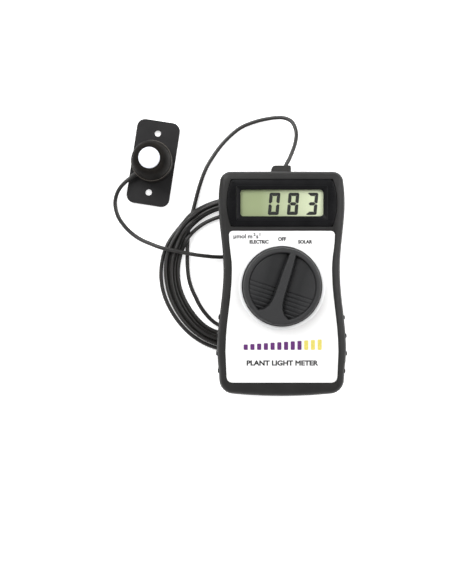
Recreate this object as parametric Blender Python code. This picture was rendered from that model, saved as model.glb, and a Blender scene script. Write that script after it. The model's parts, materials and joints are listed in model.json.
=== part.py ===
"""Handheld quantum light meter with a levelling-plate light sensor on a coiled cable.

The meter lies on its back with its face up, over the coiled cable. +Z is up, +Y runs
towards the display end, and the floor is Z = 0. Lengths are in millimetres; MM makes
them metres.
"""
import math

import bmesh
import bpy
from mathutils import Matrix, Vector

MM = 0.001
GAP = 0.3                     # clearance between neighbouring pieces

# ---- where the main pieces lie on the floor -------------------------------------
METER_X, METER_Y = 26.2, -16.3
COIL_X, COIL_Y = 1.2, -11.0
SENSOR_X, SENSOR_Y = -47.2, 53.9
SENSOR_TURN = -8.8            # degrees, the mounting plate's long side from +Y
SLEEVE_TURN = 215.0           # degrees, the way the cable leaves the sensor head

# ---- cable ----------------------------------------------------------------------
CORD_R = 1.15
COIL_INNER_R, COIL_OUTER_R = 27.5, 45.2
COIL_HEIGHT = 4.6             # two layers of cable

# ---- meter case -----------------------------------------------------------------
CASE_BACK_Z = COIL_HEIGHT + GAP
CASE_DEPTH = 24.0
FACE_Z = CASE_BACK_Z + CASE_DEPTH
SPLIT_Z = CASE_BACK_Z + 11.8
WALL = 2.0
FACE_WALL = 2.4
CASE_HALF_LENGTH = 62.6       # up to the display end
CASE_BOTTOM_Y = -61.9
SHOULDER_Y, SHOULDER_HALF = 46.0, 35.0
WAIST_Y, WAIST_HALF = 8.5, 32.3
HIP_Y, HIP_HALF = -37.0, 35.8
TOP_CORNER_R = 6.0
BOTTOM_CORNER_R = 8.0
TOP_HALF = 34.3               # half width where the top corners start
BOTTOM_HALF = 34.6            # half width where the bottom corners start
BOTTOM_BOW = 1.25             # how far the lower end bows out
GRIP_RIB_YS = (-48.0, -38.3, -28.5, -18.3)
GRIP_RIB_LENGTH = 2.4
GRIP_RIB_PROUD = 0.6

# ---- face -----------------------------------------------------------------------
RECESS = 0.6
LABEL_TOP_Y, LABEL_BOTTOM_Y = 29.5, -54.0
LABEL_TOP_HALF, LABEL_WAIST_HALF, LABEL_HIP_HALF = 29.1, 27.5, 31.05
BEZEL_Y = 44.95
BEZEL_HALF_HEIGHT = 12.85
BEZEL_MID_HALF, BEZEL_END_HALF = 30.2, 27.8
BEZEL_TOP_Z = FACE_Z + 0.4
BEZEL_BOTTOM_Z = FACE_Z - 1.0
OPENING_W, OPENING_H = 50.4, 19.0
SIGHT_W, SIGHT_H = 45.7, 14.6

# ---- display --------------------------------------------------------------------
LCD_W, LCD_H = 52.0, 20.6
WINDOW_THICK = 1.0
LCD_THICK = 2.1

# ---- selector -------------------------------------------------------------------
KNOB_Y = -1.0
KNOB_R = 21.8
KNOB_TOP_Z = FACE_Z + 7.3
KNOB_REST = -18.0             # degrees, the pointer's turn from +Y at rest
HUB_R = 11.4
ROTOR_R = 15.2
ROTOR_TOP_Z = FACE_Z - FACE_WALL - GAP
ROTOR_THICK = 3.3
DETENT_STEP = 18.0
BALL_R = 1.0

# ---- inside ---------------------------------------------------------------------
BOARD_TOP_Z = CASE_BACK_Z + 17.0
BOARD_THICK = 1.6
BOARD_HALF_W = 27.5
BOARD_TOP_Y, BOARD_BOTTOM_Y = 57.0, -46.0
BOARD_SCREW_SPOTS = ((-23.8, 27.0), (23.8, 27.0), (-23.8, -40.0), (23.8, -40.0))
CASE_SCREW_SPOTS = ((-21.0, -54.0), (21.0, -54.0))
TRIMMER_SPOTS = {"sun": (-11.0, 26.0), "lamp": (11.0, 26.0)}
CELL_Y = -30.0
CELL_R, CELL_THICK = 11.5, 2.0

# ---- sensor head ----------------------------------------------------------------
PLATE_W, PLATE_L, PLATE_THICK = 25.0, 49.2, 2.0
PLATE_CORNER_R = 4.6
PLATE_HOLE_R = 1.85
PLATE_HOLE_SPACING = 34.6
HEAD_R = 11.7
HEAD_RIM_Z = 13.0
HEAD_TOP_R, HEAD_TOP_Z = 6.9, 26.4
DIFFUSER_R = 6.15
SLEEVE_Z = 4.7
SLEEVE_R = 1.6

# Route of the cable where it isn't coiled: from the gland to the coil's outer side,
# and from the coil's inner side, over the coil, to the sensor head.
LEAD_ROUTE = (
    (29.1, 51.0, 16.7), (30.5, 53.4, 16.4), (32.7, 58.4, 15.2), (34.7, 64.4, 12.8),
    (35.3, 70.5, 10.0), (33.4, 76.4, 7.3), (29.2, 79.3, 5.2), (23.5, 79.8, 3.5),
    (16.0, 78.8, 2.2), (9.0, 76.8, 1.6), (3.2, 74.1, 1.5), (-2.6, 69.4, 1.5),
    (-8.4, 63.2, 1.5), (-14.0, 55.1, 1.5), (-17.1, 49.3, 1.5), (-20.0, 41.4, 1.4),
    (-22.1, 33.9, 1.3), (-23.4, 28.8, 1.2),
)
TAIL_ROUTE = (
    (25.2, -1.6, 1.6), (20.7, 2.8, 1.5), (14.3, 5.0, 1.5), (6.8, 3.6, 1.5),
    (-0.2, 0.8, 1.6), (-6.4, -0.7, 2.3), (-11.4, -0.7, 3.6), (-17.0, -0.2, 5.0),
    (-22.7, 0.5, 6.0), (-31.4, 2.1, 6.2), (-41.7, 4.4, 6.1), (-48.8, 7.0, 4.4),
    (-54.8, 9.7, 2.8), (-60.1, 13.4, 1.8), (-64.2, 17.6, 1.5), (-67.7, 23.0, 1.5),
    (-69.3, 29.5, 1.7), (-68.6, 34.6, 2.4), (-66.6, 38.7, 3.3), (-63.6, 42.0, 4.2),
    (-60.4, 44.6, 4.7),
)


# ---- making objects ---------------------------------------------------------------
def clear_scene():
    for thing in list(bpy.data.objects):
        bpy.data.objects.remove(thing, do_unlink=True)


def material(name, colour, roughness, metallic=0.0):
    made = bpy.data.materials.new(name)
    made.use_nodes = True
    shader = made.node_tree.nodes["Principled BSDF"]
    shader.inputs["Base Color"].default_value = (*colour, 1.0)
    shader.inputs["Roughness"].default_value = roughness
    shader.inputs["Metallic"].default_value = metallic
    made.diffuse_color = (*colour, 1.0)
    return made


def frame(name, x, y, turn=0.0, parent=None):
    """An empty that carries a group of pieces and turns about +Z."""
    empty = bpy.data.objects.new(name, None)
    bpy.context.collection.objects.link(empty)
    empty.location = (x * MM, y * MM, 0.0)
    empty.rotation_euler = (0.0, 0.0, math.radians(turn))
    empty.parent = parent
    return empty


def finish(name, shape, look, parent):
    """Turn a bmesh in millimetres into a named object with its faces pointing out."""
    bmesh.ops.recalc_face_normals(shape, faces=shape.faces)
    bmesh.ops.scale(shape, vec=(MM, MM, MM), verts=shape.verts)
    mesh = bpy.data.meshes.new(name)
    shape.to_mesh(mesh)
    shape.free()
    mesh.shade_smooth()
    mesh.set_sharp_from_angle(angle=math.radians(32.0))
    made = bpy.data.objects.new(name, mesh)
    if look:
        made.data.materials.append(look)
    bpy.context.collection.objects.link(made)
    made.parent = parent
    return made


def loft(name, rings, look=None, parent=None):
    """A closed solid through rings of equal point counts, capped at both ends."""
    shape = bmesh.new()
    rows = [[shape.verts.new(point) for point in ring] for ring in rings]
    count = len(rows[0])
    for lower, upper in zip(rows, rows[1:]):
        for i in range(count):
            j = (i + 1) % count
            shape.faces.new((lower[i], lower[j], upper[j], upper[i]))
    shape.faces.new(rows[0][::-1])
    shape.faces.new(rows[-1])
    return finish(name, shape, look, parent)


def at_height(outline, z):
    return [(x, y, z) for x, y in outline]


def prism(name, outline, z0, z1, look=None, parent=None):
    return loft(name, [at_height(outline, z0), at_height(outline, z1)], look, parent)


def turned(name, profile, look=None, parent=None, centre=(0.0, 0.0, 0.0), steps=32):
    """Spin a closed (radius, height) profile about a vertical axis through centre."""
    shape = bmesh.new()
    verts = [shape.verts.new((r, 0.0, z)) for r, z in profile]
    count = len(verts)
    edges = [shape.edges.new((verts[i], verts[(i + 1) % count])) for i in range(count)
             if profile[i][0] > 0.0 or profile[(i + 1) % count][0] > 0.0]
    bmesh.ops.spin(shape, geom=verts + edges, axis=(0, 0, 1), cent=(0, 0, 0),
                   angle=math.tau, steps=steps, use_merge=True)
    bmesh.ops.remove_doubles(shape, verts=shape.verts, dist=0.001)
    bmesh.ops.translate(shape, vec=centre, verts=shape.verts)
    return finish(name, shape, look, parent)


def rod(name, radius, start, end, look=None, parent=None, sides=16):
    """A plain round bar between two points."""
    a, b = Vector(start), Vector(end)
    turn = (b - a).to_track_quat("Z", "Y").to_matrix()
    circle = [turn @ Vector((radius * math.cos(t), radius * math.sin(t), 0.0))
              for t in (math.tau * i / sides for i in range(sides))]
    return loft(name, [[a + p for p in circle], [b + p for p in circle]], look, parent)


def cutter(piece):
    piece.hide_render = True
    piece.display_type = "WIRE"
    return piece


def combine(piece, tool, operation):
    cutter(tool)
    step = piece.modifiers.new(tool.name, "BOOLEAN")
    step.operation = operation
    step.object = tool
    step.solver = "EXACT"


def cut(piece, *tools):
    for tool in tools:
        combine(piece, tool, "DIFFERENCE")


def join(piece, *tools):
    for tool in tools:
        combine(piece, tool, "UNION")


# ---- outlines -----------------------------------------------------------------------
def arc(cx, cy, radius, start, end, steps):
    """Points on an arc, from start to end degrees."""
    return [(cx + radius * math.cos(a), cy + radius * math.sin(a))
            for a in (math.radians(start + (end - start) * i / steps) for i in range(steps + 1))]


def circle(cx, cy, radius, steps=32):
    return arc(cx, cy, radius, 0.0, 360.0, steps)[:-1]


def rounded(cx, cy, width, height, radius, steps=3):
    """A rounded rectangle, counter-clockwise from its right side's lower corner."""
    dx, dy = width / 2 - radius, height / 2 - radius
    points = []
    for sx, sy, start in ((1, -1, -90), (1, 1, 0), (-1, 1, 90), (-1, -1, 180)):
        points += arc(cx + sx * dx, cy + sy * dy, radius, start, start + 90, steps)
    return points


def ease(a, b, t):
    """From a to b with level ends."""
    return a + (b - a) * (1.0 - math.cos(math.pi * t)) / 2.0


def mirror_left(right_side):
    return right_side + [(-x, y) for x, y in reversed(right_side) if abs(x) > 0.01]


def case_outline():
    """The waisted case, counter-clockwise: right side first, from the lower end up."""
    low_y = CASE_BOTTOM_Y + BOTTOM_BOW + BOTTOM_CORNER_R
    corner_x = BOTTOM_HALF - BOTTOM_CORNER_R
    right = []
    for i in range(5):
        t = i / 5
        right.append((t * corner_x, CASE_BOTTOM_Y + BOTTOM_BOW * t * t))
    right += arc(corner_x, low_y, BOTTOM_CORNER_R, -90, 0, 6)
    hip_rise = HIP_Y - low_y
    right += [(ease(BOTTOM_HALF, HIP_HALF, i / 3), low_y + hip_rise * i / 3) for i in (1, 2)]
    right += [(ease(HIP_HALF, WAIST_HALF, i / 10), HIP_Y + (WAIST_Y - HIP_Y) * i / 10)
              for i in range(10)]
    right += [(ease(WAIST_HALF, SHOULDER_HALF, i / 9), WAIST_Y + (SHOULDER_Y - WAIST_Y) * i / 9)
              for i in range(10)]
    top_y = CASE_HALF_LENGTH - TOP_CORNER_R
    right.append(((SHOULDER_HALF * 2 + TOP_HALF) / 3 + 0.1, (SHOULDER_Y + top_y) / 2))
    right += arc(TOP_HALF - TOP_CORNER_R, top_y, TOP_CORNER_R, 0, 90, 6)
    return mirror_left(right)


def inset(outline, distance):
    """Move each point of a counter-clockwise outline inwards."""
    moved = []
    count = len(outline)
    for i, (x, y) in enumerate(outline):
        before, after = outline[i - 1], outline[(i + 1) % count]
        along = Vector((after[0] - before[0], after[1] - before[1])).normalized()
        moved.append((x - along.y * distance, y + along.x * distance))
    return moved


def label_outline(spread=0.0):
    """The printed face label, following the case's waist."""
    top, bottom = LABEL_TOP_Y + spread, LABEL_BOTTOM_Y - spread
    top_half, hip_half = LABEL_TOP_HALF + spread, LABEL_HIP_HALF + spread
    waist_half = LABEL_WAIST_HALF + spread
    right = [(0.0, bottom)] + arc(hip_half - 3.6, bottom + 3.0, 3.0, -90, 0, 3)
    right += [(ease(hip_half, waist_half, i / 6), HIP_Y + (WAIST_Y - HIP_Y) * i / 6)
              for i in range(6)]
    right += [(ease(waist_half, top_half, i / 5), WAIST_Y + (top - 2.0 - WAIST_Y) * i / 5)
              for i in range(5)]
    right += arc(top_half - 2.0, top - 2.0, 2.0, 0, 90, 3)
    return mirror_left(right)


def bezel_outline(spread=0.0):
    """The display surround, whose two short sides are bowed."""
    half_h = BEZEL_HALF_HEIGHT + spread
    right = []
    for i in range(9):
        t = i / 4.0 - 1.0
        bow = BEZEL_END_HALF + (BEZEL_MID_HALF - BEZEL_END_HALF) * (1.0 - t * t)
        right.append((bow + spread, BEZEL_Y + half_h * t))
    return mirror_left(right)


# ---- meter case ---------------------------------------------------------------------
def grip_ribs(piece, low_z, high_z, parent):
    """Short upright ribs on both sides of the case's lower half."""
    low_y = CASE_BOTTOM_Y + BOTTOM_BOW + BOTTOM_CORNER_R
    for side in (-1, 1):
        for y in GRIP_RIB_YS:
            if y > HIP_Y:
                half = ease(HIP_HALF, WAIST_HALF, (y - HIP_Y) / (WAIST_Y - HIP_Y))
            else:
                half = ease(HIP_HALF, BOTTOM_HALF, (HIP_Y - y) / (HIP_Y - low_y))
            outer = half + GRIP_RIB_PROUD
            rib = rounded(side * (outer - 0.9), y, 1.8, GRIP_RIB_LENGTH, 0.5, 2)
            join(piece, prism("rib_tool", rib, low_z, high_z, parent=parent))


def make_front_housing(meter, look):
    outline = case_outline()
    low_z = SPLIT_Z + GAP / 2
    piece = loft("front_housing", [
        at_height(outline, low_z),
        at_height(outline, FACE_Z - 3.6),
        at_height(inset(outline, 0.35), FACE_Z - 2.2),
        at_height(inset(outline, 1.1), FACE_Z - 1.0),
        at_height(inset(outline, 2.1), FACE_Z - 0.3),
        at_height(inset(outline, 3.3), FACE_Z),
    ], look, meter)
    grip_ribs(piece, low_z, FACE_Z - 4.0, meter)
    inner = inset(outline, WALL)
    ceiling = FACE_Z - FACE_WALL
    cut(piece, prism("cavity_tool", inner, low_z - 1.0, ceiling, parent=meter))

    for i, (x, y) in enumerate(BOARD_SCREW_SPOTS):
        post = circle(x, y, 2.7, 12)
        join(piece, prism("post_tool", post, BOARD_TOP_Z + GAP, ceiling + 0.5, parent=meter))
    for x, y in CASE_SCREW_SPOTS:
        join(piece, prism("boss_tool", circle(x, y, 3.6, 16), low_z, ceiling + 0.5, parent=meter))
    detent_wall = [(16.5, ceiling + 0.5), (16.5, ceiling - 2.8), (18.3, ceiling - 2.8),
                   (18.3, ceiling + 0.5)]
    join(piece, turned("detent_wall_tool", detent_wall, parent=meter,
                       centre=(0.0, KNOB_Y, 0.0), steps=48))

    recess_z = FACE_Z - RECESS
    cut(piece, prism("label_recess_tool", label_outline(GAP), recess_z, FACE_Z + 1, parent=meter))
    bezel_floor = BEZEL_BOTTOM_Z - GAP
    cut(piece, prism("bezel_recess_tool", bezel_outline(GAP), bezel_floor, FACE_Z + 1,
                     parent=meter))
    lcd_hole = rounded(0.0, BEZEL_Y, LCD_W + 2 * GAP, LCD_H + 2 * GAP, 0.8)
    cut(piece, prism("lcd_hole_tool", lcd_hole, ceiling - 1, FACE_Z, parent=meter))
    hub_hole = circle(0.0, KNOB_Y, HUB_R + GAP, 40)
    cut(piece, prism("hub_hole_tool", hub_hole, ceiling - 1, FACE_Z + 1, parent=meter))
    for x, y in BOARD_SCREW_SPOTS:
        bore = circle(x, y, 1.25, 10)
        cut(piece, prism("post_bore_tool", bore, BOARD_TOP_Z - 1, ceiling - 0.6, parent=meter))
    for x, y in CASE_SCREW_SPOTS:
        bore = circle(x, y, 1.6, 12)
        cut(piece, prism("boss_bore_tool", bore, low_z - 1, ceiling - 1.5, parent=meter))
    detent_notches(piece, meter)
    cut(piece, gland_slot(meter))


def detent_notches(piece, meter):
    """Hollows that the detent balls drop into, one pair for each selector position."""
    for stop in range(3):
        angle = math.radians(90.0 + KNOB_REST + DETENT_STEP * stop)
        for side in (0.0, math.pi):
            x = 16.7 * math.cos(angle + side)
            y = KNOB_Y + 16.7 * math.sin(angle + side)
            notch = circle(x, y, 1.2, 10)
            z = ROTOR_TOP_Z - ROTOR_THICK / 2
            cut(piece, prism("notch_tool", notch, z - 1.2, z + 1.2, parent=meter))


GLAND_W, GLAND_H = 11.0, 9.0
GLAND_NECK_W, GLAND_NECK_H = 8.0, 6.0
GLAND_PROUD = 3.9


def gland_slot(meter):
    """The hole for the gland's neck through the top end wall, shared by both housings."""
    wide = GLAND_NECK_W / 2 + GAP
    tall = GLAND_NECK_H / 2 + GAP
    top = CASE_HALF_LENGTH
    hole = [(-wide, top - 4), (wide, top - 4), (wide, top + 2), (-wide, top + 2)]
    return prism("gland_slot_tool", hole, SPLIT_Z - tall, SPLIT_Z + tall, parent=meter)


def make_rear_housing(meter, look):
    outline = case_outline()
    high_z = SPLIT_Z - GAP / 2
    back = CASE_BACK_Z
    piece = loft("rear_housing", [
        at_height(inset(outline, 2.0), back),
        at_height(inset(outline, 0.8), back + 0.6),
        at_height(inset(outline, 0.2), back + 1.8),
        at_height(outline, back + 3.0),
        at_height(outline, high_z),
    ], look, meter)
    grip_ribs(piece, back + 4.0, high_z, meter)
    inner = inset(outline, WALL)
    cut(piece, prism("cavity_tool", inner, back + WALL, high_z + 1, parent=meter))
    for x, y in CASE_SCREW_SPOTS:
        boss = circle(x, y, 4.4, 16)
        join(piece, prism("boss_tool", boss, back + 1.0, high_z, parent=meter))
    for side in (-1, 1):
        tongue = rounded(side * 20.0, CASE_HALF_LENGTH - WALL - 1.0, 7.0, 1.2, 0.3, 1)
        root = rounded(side * 20.0, CASE_HALF_LENGTH - WALL - 0.4, 7.0, 2.4, 0.3, 1)
        join(piece, prism("tongue_root_tool", root, back + 1.0, high_z, parent=meter),
             prism("tongue_tool", tongue, high_z - 3.0, high_z + 3.0, parent=meter))
    for x, y in CASE_SCREW_SPOTS:
        cut(piece, prism("head_pocket_tool", circle(x, y, 3.1, 16), back - 1, back + 4.0,
                         parent=meter),
            prism("screw_way_tool", circle(x, y, 1.6, 12), back, high_z + 1, parent=meter))
    cut(piece, gland_slot(meter))


def screw(name, spot, head_z, head_r, head_h, shank_r, tip_z, look, parent):
    """A pan-head screw whose head is at the low end and whose shank runs up."""
    x, y = spot
    profile = [(0.0, head_z), (head_r * 0.7, head_z), (head_r, head_z + head_h * 0.5),
               (head_r, head_z + head_h), (shank_r, head_z + head_h), (shank_r, tip_z - 1.0),
               (0.0, tip_z)]
    piece = turned(name, profile, look, parent, centre=(x, y, 0.0), steps=12)
    for width, length in ((0.7, head_r * 1.3), (head_r * 1.3, 0.7)):
        slot = rounded(x, y, width, length, 0.1, 1)
        cut(piece, prism("slot_tool", slot, head_z - 1, head_z + head_h * 0.5, parent=parent))


def make_case_screws(meter, look):
    for i, spot in enumerate(CASE_SCREW_SPOTS, start=1):
        screw(f"case_screw_{i}", spot, CASE_BACK_Z + 1.6, 2.7, 2.1, 1.25,
              FACE_Z - FACE_WALL - 2.2, look, meter)


def make_cable_gland(meter, look):
    """A rubber grommet gripped by the end wall, with the cable's way through it."""
    top = CASE_HALF_LENGTH
    low, high = SPLIT_Z - GLAND_H / 2, SPLIT_Z + GLAND_H / 2
    outer_y0, outer_y1 = top + GAP, top + GLAND_PROUD
    half = GLAND_W / 2
    nose = [(-half, outer_y0), (half, outer_y0)]
    nose += arc(half - 1.0, outer_y1 - 1.0, 1.0, 0, 90, 3)
    nose += arc(-half + 2.2, outer_y1 - 2.2, 2.2, 90, 180, 4)
    piece = prism("cable_gland", nose, low, high, look, meter)
    neck = [(-GLAND_NECK_W / 2, top - 4.0), (GLAND_NECK_W / 2, top - 4.0),
            (GLAND_NECK_W / 2, outer_y0 + 0.5), (-GLAND_NECK_W / 2, outer_y0 + 0.5)]
    join(piece, prism("neck_tool", neck, SPLIT_Z - GLAND_NECK_H / 2, SPLIT_Z + GLAND_NECK_H / 2,
                      parent=meter))
    flange_y1 = top - WALL - GAP
    flange = [(-half, flange_y1 - 1.6), (half, flange_y1 - 1.6), (half, flange_y1),
              (-half, flange_y1)]
    join(piece, prism("flange_tool", flange, low, high, parent=meter))
    cut(piece, rod("cable_way_tool", CORD_R + GAP, (2.7, top - 6.0, SPLIT_Z),
                   (2.7, top + 6.0, SPLIT_Z), parent=meter, sides=12))


# ---- face pieces ----------------------------------------------------------------------
def make_face_label(meter, look):
    low = FACE_Z - RECESS + GAP
    piece = prism("face_label", label_outline(), low, FACE_Z + 0.05, look, meter)
    hole = circle(0.0, KNOB_Y, KNOB_R + 2.05, 48)
    cut(piece, prism("dial_hole_tool", hole, low - 1, FACE_Z + 1, parent=meter))


def make_dial_ring(meter, look):
    low, high = FACE_Z - RECESS + GAP, FACE_Z + 0.5
    inner, outer = KNOB_R + GAP, KNOB_R + 1.75
    profile = [(inner, low), (outer, low), (outer, high - 0.3), (outer - 0.4, high),
               (inner, high)]
    turned("dial_ring", profile, look, meter, centre=(0.0, KNOB_Y, 0.0), steps=48)


def make_display_bezel(meter, look):
    piece = loft("display_bezel", [
        at_height(bezel_outline(), BEZEL_BOTTOM_Z),
        at_height(bezel_outline(), BEZEL_TOP_Z - 0.3),
        at_height(bezel_outline(-0.3), BEZEL_TOP_Z),
    ], look, meter)
    cut(piece, loft("opening_tool", [
        at_height(rounded(0.0, BEZEL_Y, SIGHT_W - 0.3, SIGHT_H - 0.3, 1.6), BEZEL_BOTTOM_Z - 0.1),
        at_height(rounded(0.0, BEZEL_Y, OPENING_W + 0.3, OPENING_H + 0.3, 0.9), BEZEL_TOP_Z + 0.1),
    ], parent=meter))


def make_display(meter, looks):
    window_top = BEZEL_BOTTOM_Z - GAP
    lcd_top = window_top - WINDOW_THICK - GAP
    lcd_low = lcd_top - LCD_THICK
    pane = rounded(0.0, BEZEL_Y, LCD_W, LCD_H, 0.8)
    prism("display_window", pane, window_top - WINDOW_THICK, window_top, looks["clear"], meter)
    prism("lcd_glass", pane, lcd_low, lcd_top, looks["lcd"], meter)

    frame_low = BOARD_TOP_Z + GAP
    frame_top = FACE_Z - FACE_WALL - GAP
    outer = rounded(0.0, BEZEL_Y, LCD_W + 3.6, LCD_H + 3.0, 1.0)
    piece = prism("lcd_frame", outer, frame_low, frame_top, looks["frame"], meter)
    seat = rounded(0.0, BEZEL_Y, LCD_W + 2 * GAP, LCD_H + 2 * GAP, 0.8)
    cut(piece, prism("lcd_seat_tool", seat, lcd_low - GAP, frame_top + 1, parent=meter))
    for side in (-1, 1):
        strip_y = BEZEL_Y + side * (LCD_H / 2 - 1.6)
        strip = rounded(0.0, strip_y, LCD_W - 4.0, 2.0, 0.3, 1)
        slot = rounded(0.0, strip_y, LCD_W - 4.0 + 2 * GAP, 2.0 + 2 * GAP, 0.3, 1)
        cut(piece, prism("strip_slot_tool", slot, frame_low - 1, frame_top, parent=meter))
        where = "upper" if side > 0 else "lower"
        prism(f"contact_strip_{where}", strip, BOARD_TOP_Z + GAP, lcd_low - GAP,
              looks["silicone"], meter)


# ---- selector -------------------------------------------------------------------------
LOBE_R = 18.5
LOBE_EDGE = ((1.5, 18.4), (1.9, 10.0), (2.1, 0.0), (2.25, -6.0), (2.7, -9.6), (3.7, -12.4),
             (5.4, -14.8), (8.2, -16.3))
LOBE_DEEP, LOBE_SHALLOW = 4.4, 0.5


def lobe_outline():
    """The right-hand finger hollow, beside the pointer bar."""
    x0, y0 = LOBE_EDGE[-1]
    x1, y1 = LOBE_EDGE[0]
    start = math.degrees(math.atan2(y0, x0))
    end = math.degrees(math.atan2(y1, x1))
    return list(LOBE_EDGE) + arc(0.0, 0.0, LOBE_R, start + 4.0, end - 1.0, 18)


def lobe_tool(side, parent):
    """A cutter whose floor falls from the knob's rim towards the pointer bar."""
    outline = lobe_outline()
    slope = (LOBE_DEEP - LOBE_SHALLOW) / (LOBE_R - 2.0)
    floor = [(side * x, y, KNOB_TOP_Z - LOBE_DEEP + slope * (x - 2.0)) for x, y in outline]
    roof = [(side * x, y, KNOB_TOP_Z + 2.0) for x, y in outline]
    return loft("lobe_tool", [floor, roof], parent=parent)


def make_selector(axis, looks):
    low = FACE_Z
    profile = [(0.0, ROTOR_TOP_Z + GAP), (HUB_R, ROTOR_TOP_Z + GAP), (HUB_R, low),
               (KNOB_R, low), (KNOB_R, low + 2.4), (KNOB_R - 0.5, low + 4.6),
               (KNOB_R - 1.1, KNOB_TOP_Z - 0.7), (KNOB_R - 1.8, KNOB_TOP_Z), (0.0, KNOB_TOP_Z)]
    knob = turned("selector_knob", profile, looks["knob"], axis, steps=56)
    cut(knob, lobe_tool(1, axis), lobe_tool(-1, axis))
    tip = rod("socket_tool", 1.6, (0, 0, ROTOR_TOP_Z - 1), (0, 0, KNOB_TOP_Z - 5.6), parent=axis)
    cut(knob, tip)

    rotor_low = ROTOR_TOP_Z - ROTOR_THICK
    rotor = prism("selector_rotor", circle(0, 0, ROTOR_R, 40), rotor_low, ROTOR_TOP_Z,
                  looks["frame"], axis)
    cut(rotor, prism("screw_way_tool", circle(0, 0, 1.6, 16), rotor_low - 1, ROTOR_TOP_Z + 1,
                     parent=axis),
        prism("head_seat_tool", circle(0, 0, 2.9, 16), rotor_low - 1, rotor_low + 1.6,
              parent=axis))
    mid_z = ROTOR_TOP_Z - ROTOR_THICK / 2
    for i, side in enumerate((1, -1), start=1):
        cut(rotor, rod("ball_way_tool", BALL_R + GAP, (0, side * 8.0, mid_z),
                       (0, side * 17.0, mid_z), parent=axis, sides=12))
        ball = bmesh.new()
        bmesh.ops.create_uvsphere(ball, u_segments=12, v_segments=8, radius=BALL_R)
        bmesh.ops.translate(ball, vec=(0, side * (ROTOR_R - 0.2), mid_z), verts=ball.verts)
        finish(f"detent_ball_{i}", ball, looks["steel"], axis)
        make_detent_spring(f"detent_spring_{i}", side, mid_z, looks["steel"], axis)
    screw("knob_screw", (0, 0), rotor_low + 0.1, 2.6, 1.2, 1.25, KNOB_TOP_Z - 6.0,
          looks["steel"], axis)
    for i in range(3):
        make_wiper(f"wiper_contact_{i + 1}", math.radians(30 + 120 * i), rotor_low - GAP,
                   looks["brass"], axis)


def make_detent_spring(name, side, z, look, parent):
    """A small coil spring lying behind its ball, as a bent wire with flat ends."""
    turns, per_turn, coil_r, wire_r = 4, 8, 0.72, 0.2
    start, length = 8.5, ROTOR_R - 0.2 - BALL_R - GAP - 8.7
    rings = []
    for i in range(turns * per_turn + 1):
        turn = math.tau * i / per_turn
        y = start + length * i / (turns * per_turn)
        out = Vector((math.cos(turn), 0.0, math.sin(turn)))
        centre = Vector((0.0, y, z)) + out * coil_r
        ring = [centre + out * (wire_r * math.cos(a)) + Vector((0, wire_r * math.sin(a), 0))
                for a in (math.tau * k / 4 for k in range(4))]
        rings.append([(p.x, side * p.y, p.z) for p in ring])
    loft(name, rings, look, parent)


def make_wiper(name, angle, top_z, look, parent):
    """A leaf contact under the rotor that rides on the board's tracks."""
    thick, half_w = 0.2, 0.9
    bottom = BOARD_TOP_Z + GAP
    side_view = [(6.5, top_z), (8.5, top_z), (10.4, bottom + thick), (11.2, bottom + thick),
                 (12.8, top_z - 0.1), (12.8, top_z - 0.1 - thick), (11.2, bottom),
                 (10.2, bottom), (8.3, top_z - thick), (6.5, top_z - thick)]
    turn = Matrix.Rotation(angle, 3, "Z")
    rings = [[turn @ Vector((r, offset, z)) for r, z in side_view]
             for offset in (-half_w, half_w)]
    loft(name, rings, look, parent)


# ---- electronics ------------------------------------------------------------------------
def make_board(meter, looks):
    low = BOARD_TOP_Z - BOARD_THICK
    mid_y = (BOARD_TOP_Y + BOARD_BOTTOM_Y) / 2
    shape = rounded(0.0, mid_y, 2 * BOARD_HALF_W, BOARD_TOP_Y - BOARD_BOTTOM_Y, 1.5, 2)
    board = prism("circuit_board", shape, low, BOARD_TOP_Z, looks["board"], meter)
    for i, (x, y) in enumerate(BOARD_SCREW_SPOTS, start=1):
        cut(board, prism("board_hole_tool", circle(x, y, 1.3, 10), low - 1, BOARD_TOP_Z + 1,
                         parent=meter))
        screw(f"board_screw_{i}", (x, y), low - GAP - 1.3, 2.1, 1.3, 0.9,
              BOARD_TOP_Z + 3.2, looks["steel"], meter)
    under = low - GAP
    prism("meter_chip", rounded(0.0, 8.0, 14.0, 36.0, 0.3, 1), under - 3.6, under,
          looks["chip"], meter)
    rod("filter_capacitor", 3.1, (-19.0, 4.0, under - 3.2), (-19.0, 15.0, under - 3.2),
        looks["capacitor"], meter, sides=20)
    make_trimmers(under, meter, looks)


def make_trimmers(under, meter, looks):
    """Two small calibration adjusters, one for each kind of light."""
    for kind, (x, y) in TRIMMER_SPOTS.items():
        body = prism(f"{kind}_trimmer_body", rounded(x, y, 6.6, 6.6, 0.4, 1), under - 3.4, under,
                     looks["trimmer"], meter)
        cut(body, prism("rotor_seat_tool", circle(x, y, 2.2, 20), under - 5, under - 1.5,
                        parent=meter))
        axis = frame(f"{kind}_trimmer_axis", x, y, parent=meter)
        disc = prism(f"{kind}_trimmer_rotor", circle(0, 0, 1.9, 20), under - 3.2, under - 1.8,
                     looks["trimmer_rotor"], axis)
        cut(disc, prism("driver_slot_tool", rounded(0, 0, 0.7, 3.0, 0.1, 1), under - 4,
                        under - 2.6, parent=axis))


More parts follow.
